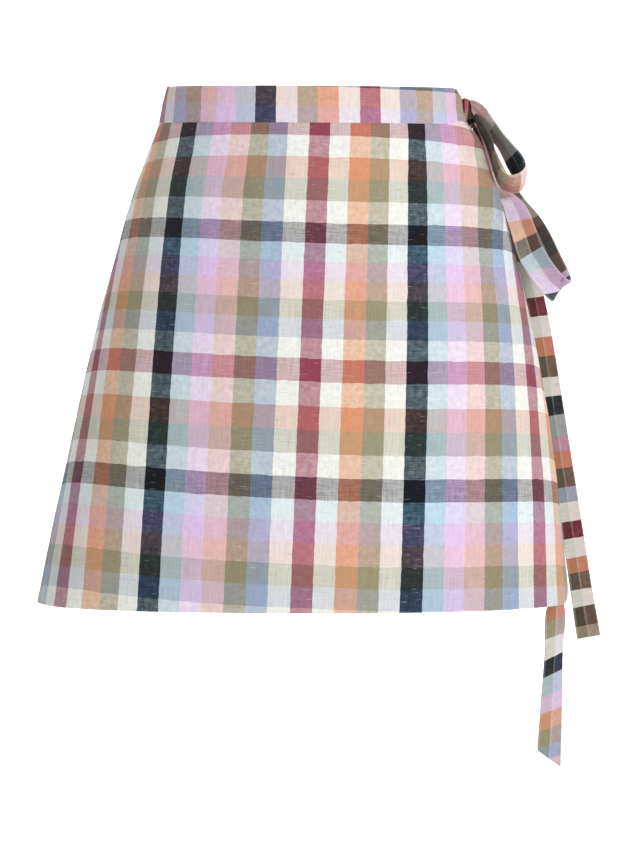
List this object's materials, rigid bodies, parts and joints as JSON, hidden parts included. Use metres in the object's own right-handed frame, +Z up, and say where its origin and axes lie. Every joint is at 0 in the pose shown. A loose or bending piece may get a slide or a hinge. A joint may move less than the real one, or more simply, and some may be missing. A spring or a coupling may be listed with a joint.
{
  "type": "mini skirt",
  "caption": "A-line wrap mini skirt in multicolour block check cloth, with a narrow waistband and ties knotted in a bow at one side, standing open as when worn.",
  "frame": {"origin": "middle of the waist hollow, level with the waist seam at the side seams", "axes": "+X to the viewer's right, towards the bow, -Y out of the front, +Z up"},
  "size_m": [0.4606, 0.3048, 0.5632],
  "materials": {
    "panel_cloth": "matte slubby plain weave in a multicolour block check",
    "band_cloth": "matte slubby plain weave in a multicolour block check, interfaced",
    "tie_cloth": "matte plain weave, banded across the tie"
  },
  "bodies": {
    "root": {"front_panel": "panel_cloth", "under_panel": "panel_cloth", "back_panel": "panel_cloth", "waistband_front": "band_cloth", "waistband_under": "band_cloth", "waistband_back": "band_cloth", "tie_knot": "tie_cloth", "tie_root_front": "tie_cloth", "tie_root_side": "tie_cloth", "tie_loop_upper": "tie_cloth", "tie_loop_lower": "tie_cloth", "tie_tail_outer": "tie_cloth", "tie_tail_inner": "tie_cloth"}
  },
  "joints": []
}
